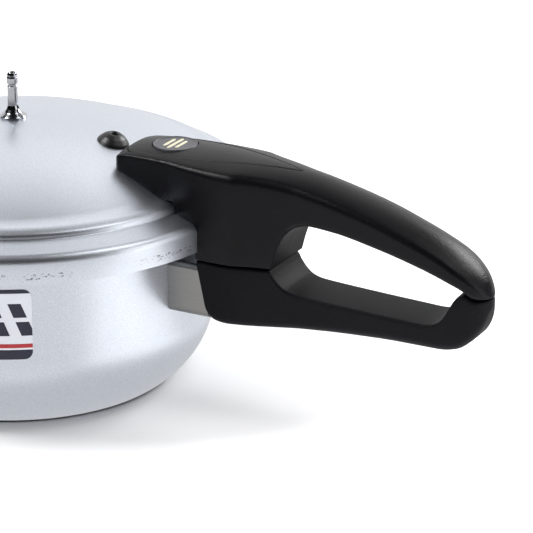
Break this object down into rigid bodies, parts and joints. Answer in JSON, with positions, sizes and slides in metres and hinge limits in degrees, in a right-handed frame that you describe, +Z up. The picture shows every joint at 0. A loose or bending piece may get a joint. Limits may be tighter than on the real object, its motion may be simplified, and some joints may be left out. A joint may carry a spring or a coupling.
{
  "type": "stovetop pressure cooker",
  "caption": "Shallow round aluminium pressure pan with a domed outside bayonet lid, a steam vent, a safety plug and two stacked black handles that meet when the lid is locked.",
  "frame": {"origin": "centre of the pan's flat base, on the axis of the pan and lid", "axes": "+Z up along the pan's axis, +X along the closed handles away from the pan"},
  "size_m": [0.417, 0.26, 0.1687],
  "materials": {
    "pan_aluminium": "satin anodised",
    "lid_aluminium": "fine satin anodised",
    "stud_aluminium": "turned",
    "bracket_steel": "brushed",
    "screw_steel": "zinc plated",
    "vent_chrome": "polished",
    "nut_brass": "machined",
    "handle_black": "moulded phenolic, satin",
    "cover_black": "fine matt texture",
    "badge_grey": "satin",
    "emblem_gold": "foil",
    "label_foil": "printed foil",
    "gasket_rubber": "moulded silicone",
    "seal_rubber": "moulded silicone",
    "plug_rubber": "slightly glossy"
  },
  "bodies": {
    "pan": {"pan_body": "pan_aluminium", "pan_label": "label_foil", "pan_bracket": "bracket_steel", "bracket_rivets": "pan_aluminium", "bracket_tongue": "bracket_steel", "lower_handle": "handle_black", "lower_handle_screw": "screw_steel", "lower_handle_washer": "screw_steel", "lower_handle_nut": "screw_steel"},
    "gasket": {"gasket": "gasket_rubber"},
    "lid": {"lid_shell": "lid_aluminium", "vent_tube": "vent_chrome", "vent_seal": "seal_rubber", "vent_nut": "nut_brass", "vent_shield": "bracket_steel", "safety_plug": "plug_rubber", "lid_stud": "stud_aluminium", "lid_angle": "bracket_steel", "angle_rivets": "stud_aluminium", "upper_handle": "handle_black", "handle_cover": "cover_black", "handle_badge": "badge_grey", "badge_emblem": "emblem_gold", "badge_screw": "screw_steel", "badge_washer": "screw_steel", "rear_screw": "screw_steel", "rear_washer": "screw_steel"}
  },
  "joints": [
    {"name": "lid_lift", "type": "slide", "parent": "pan", "child": "gasket", "axis": [0, 0, 1], "range_m": [0, 0.15]},
    {"name": "lid_turn", "type": "hinge", "parent": "gasket", "child": "lid", "pos_m": [0, 0, 0.1], "axis": [0, 0, 1], "range_deg": [0, 30]}
  ]
}
